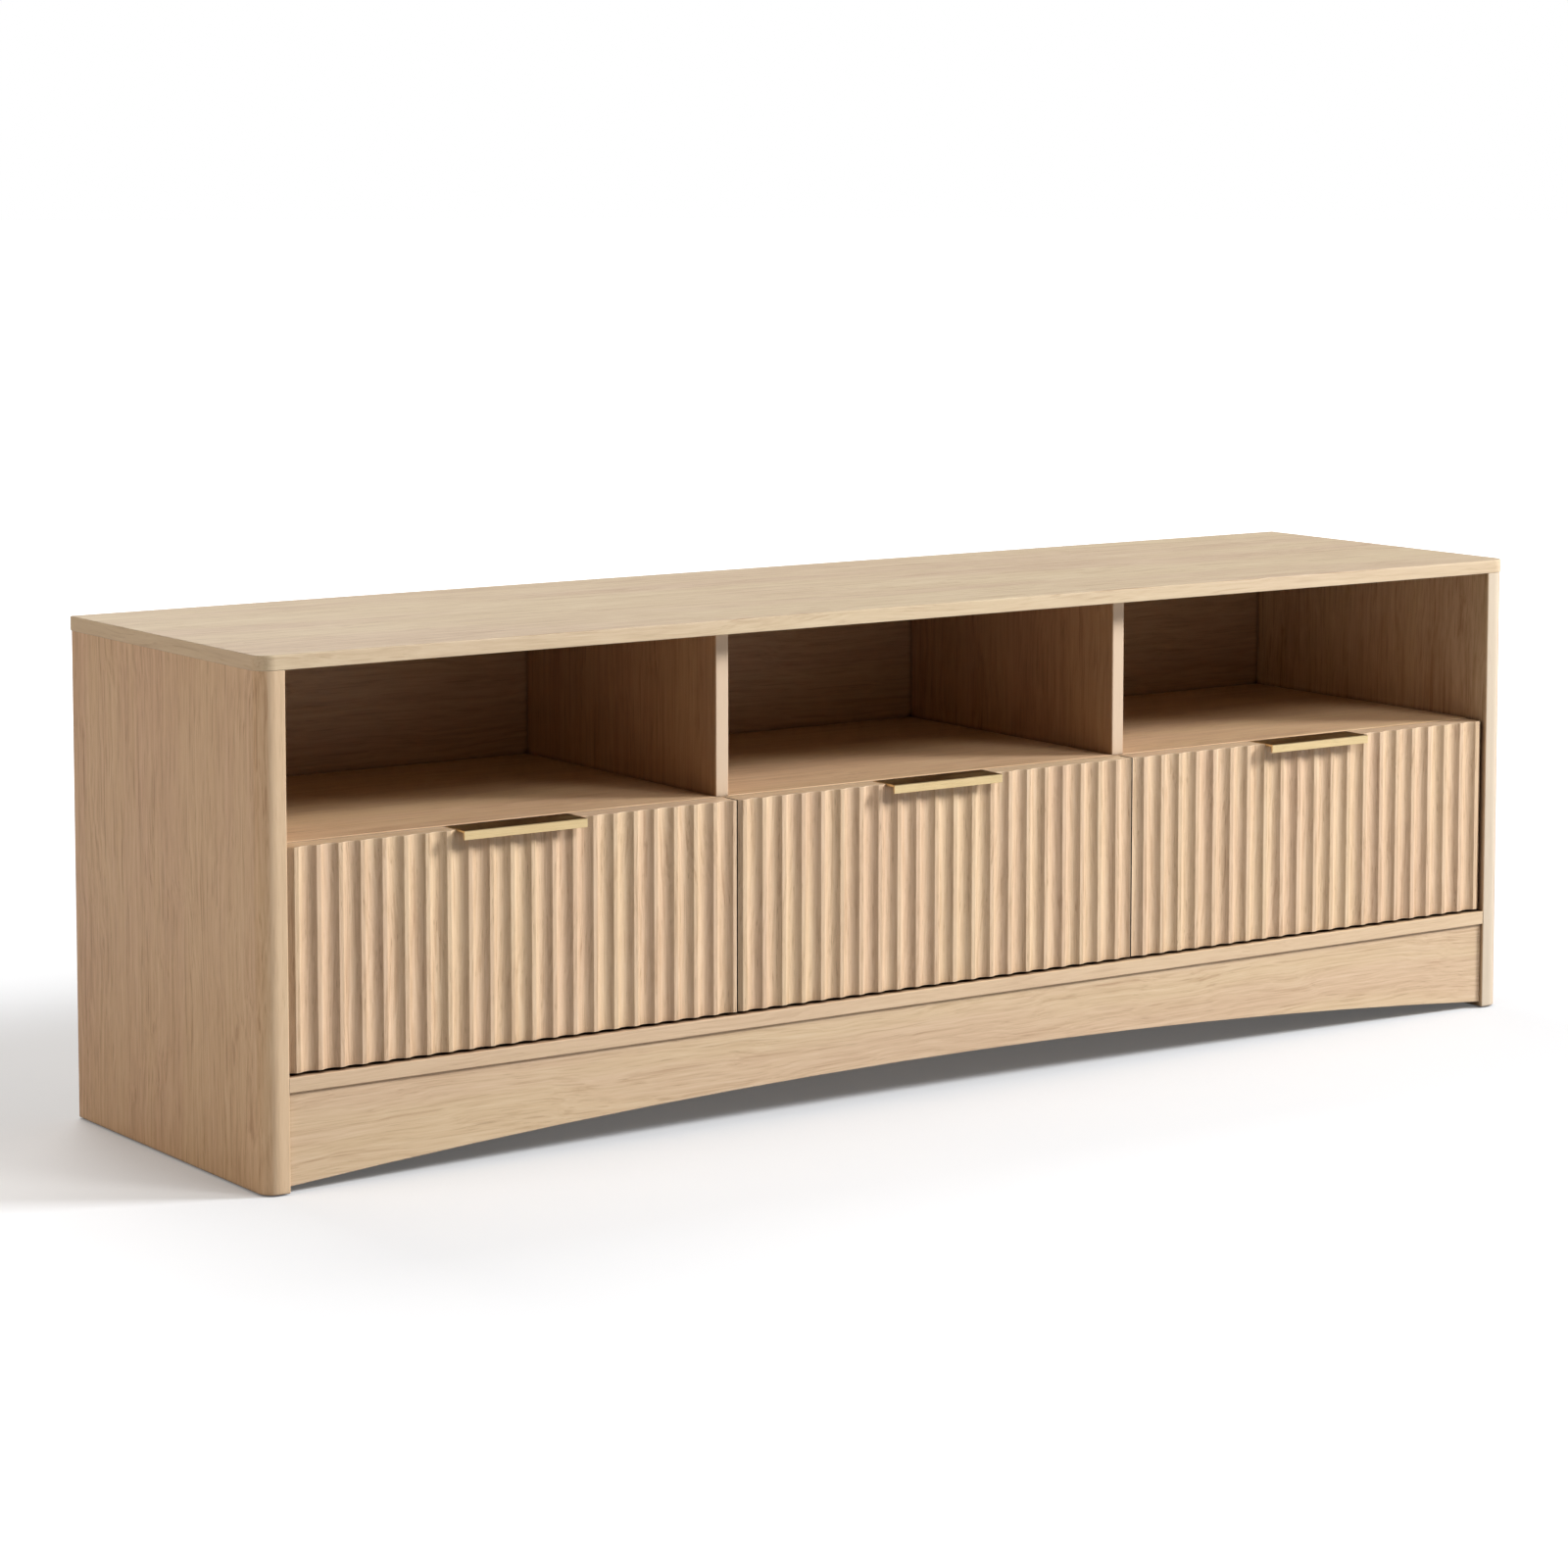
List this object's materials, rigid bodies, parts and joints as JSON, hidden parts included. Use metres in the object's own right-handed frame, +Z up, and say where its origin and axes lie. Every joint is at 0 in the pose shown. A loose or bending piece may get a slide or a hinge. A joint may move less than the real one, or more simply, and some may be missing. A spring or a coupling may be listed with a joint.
{
  "type": "media cabinet",
  "caption": "Low oak media cabinet with open bays over fluted drawers, folded brass edge pulls, rounded front corners and an arched plinth.",
  "frame": {"origin": "on the floor, under the middle of the whole object's box", "axes": "+X along the width to the right as seen from the front, -Y out of the drawer fronts, +Z up"},
  "size_m": [1.6, 0.416, 0.518],
  "materials": {
    "oak_board": "matt lacquered light oak veneer",
    "oak_fluted": "matt lacquered light oak, fluted, vertical grain",
    "birch_plywood": "clear lacquered birch plywood",
    "oak_back_board": "thin board with oak veneer, horizontal grain",
    "beech_dowel": "plain turned beech",
    "satin_brass": "satin brushed",
    "zinc_steel": "zinc plated",
    "nylon_glide": "moulded",
    "rubber_bumper": "soft translucent grey"
  },
  "bodies": {
    "carcass": {"top_panel": "oak_board", "left_side_panel": "oak_board", "right_side_panel": "oak_board", "left_upper_divider": "oak_board", "left_lower_divider": "birch_plywood", "right_upper_divider": "oak_board", "right_lower_divider": "birch_plywood", "middle_shelf": "oak_board", "bottom_panel": "oak_board", "arched_plinth": "oak_board", "rear_rail": "birch_plywood", "back_panel": "oak_back_board", "centre_leg": "birch_plywood", "floor_glides": "nylon_glide", "carcass_dowels": "beech_dowel", "angle_brackets": "zinc_steel", "carcass_screws": "zinc_steel", "back_panel_screws": "zinc_steel", "drawer_bumpers": "rubber_bumper", "left_outer_slides": "zinc_steel", "centre_outer_slides": "zinc_steel", "right_outer_slides": "zinc_steel"},
    "left_drawer": {"left_drawer_front": "oak_fluted", "left_drawer_left_side": "birch_plywood", "left_drawer_right_side": "birch_plywood", "left_drawer_inner_front": "birch_plywood", "left_drawer_back": "birch_plywood", "left_drawer_bottom": "birch_plywood", "left_drawer_pull": "satin_brass", "left_drawer_screws": "zinc_steel", "left_front_screws": "zinc_steel", "left_inner_slides": "zinc_steel"},
    "left_slide_middle": {"left_middle_slides": "zinc_steel"},
    "centre_drawer": {"centre_drawer_front": "oak_fluted", "centre_drawer_left_side": "birch_plywood", "centre_drawer_right_side": "birch_plywood", "centre_drawer_inner_front": "birch_plywood", "centre_drawer_back": "birch_plywood", "centre_drawer_bottom": "birch_plywood", "centre_drawer_pull": "satin_brass", "centre_drawer_screws": "zinc_steel", "centre_front_screws": "zinc_steel", "centre_inner_slides": "zinc_steel"},
    "centre_slide_middle": {"centre_middle_slides": "zinc_steel"},
    "right_drawer": {"right_drawer_front": "oak_fluted", "right_drawer_left_side": "birch_plywood", "right_drawer_right_side": "birch_plywood", "right_drawer_inner_front": "birch_plywood", "right_drawer_back": "birch_plywood", "right_drawer_bottom": "birch_plywood", "right_drawer_pull": "satin_brass", "right_drawer_screws": "zinc_steel", "right_front_screws": "zinc_steel", "right_inner_slides": "zinc_steel"},
    "right_slide_middle": {"right_middle_slides": "zinc_steel"}
  },
  "joints": [
    {"name": "left_drawer_slide", "type": "slide", "parent": "carcass", "child": "left_drawer", "axis": [0, -1, 0], "range_m": [0, 0.35]},
    {"name": "left_middle_slide", "type": "slide", "parent": "carcass", "child": "left_slide_middle", "axis": [0, -1, 0], "range_m": [0, 0.175]},
    {"name": "centre_drawer_slide", "type": "slide", "parent": "carcass", "child": "centre_drawer", "axis": [0, -1, 0], "range_m": [0, 0.35]},
    {"name": "centre_middle_slide", "type": "slide", "parent": "carcass", "child": "centre_slide_middle", "axis": [0, -1, 0], "range_m": [0, 0.175]},
    {"name": "right_drawer_slide", "type": "slide", "parent": "carcass", "child": "right_drawer", "axis": [0, -1, 0], "range_m": [0, 0.35]},
    {"name": "right_middle_slide", "type": "slide", "parent": "carcass", "child": "right_slide_middle", "axis": [0, -1, 0], "range_m": [0, 0.175]}
  ],
  "couplings": [
    {"joint": "left_middle_slide", "follows": "left_drawer_slide", "ratio": 0.5},
    {"joint": "centre_middle_slide", "follows": "centre_drawer_slide", "ratio": 0.5},
    {"joint": "right_middle_slide", "follows": "right_drawer_slide", "ratio": 0.5}
  ]
}
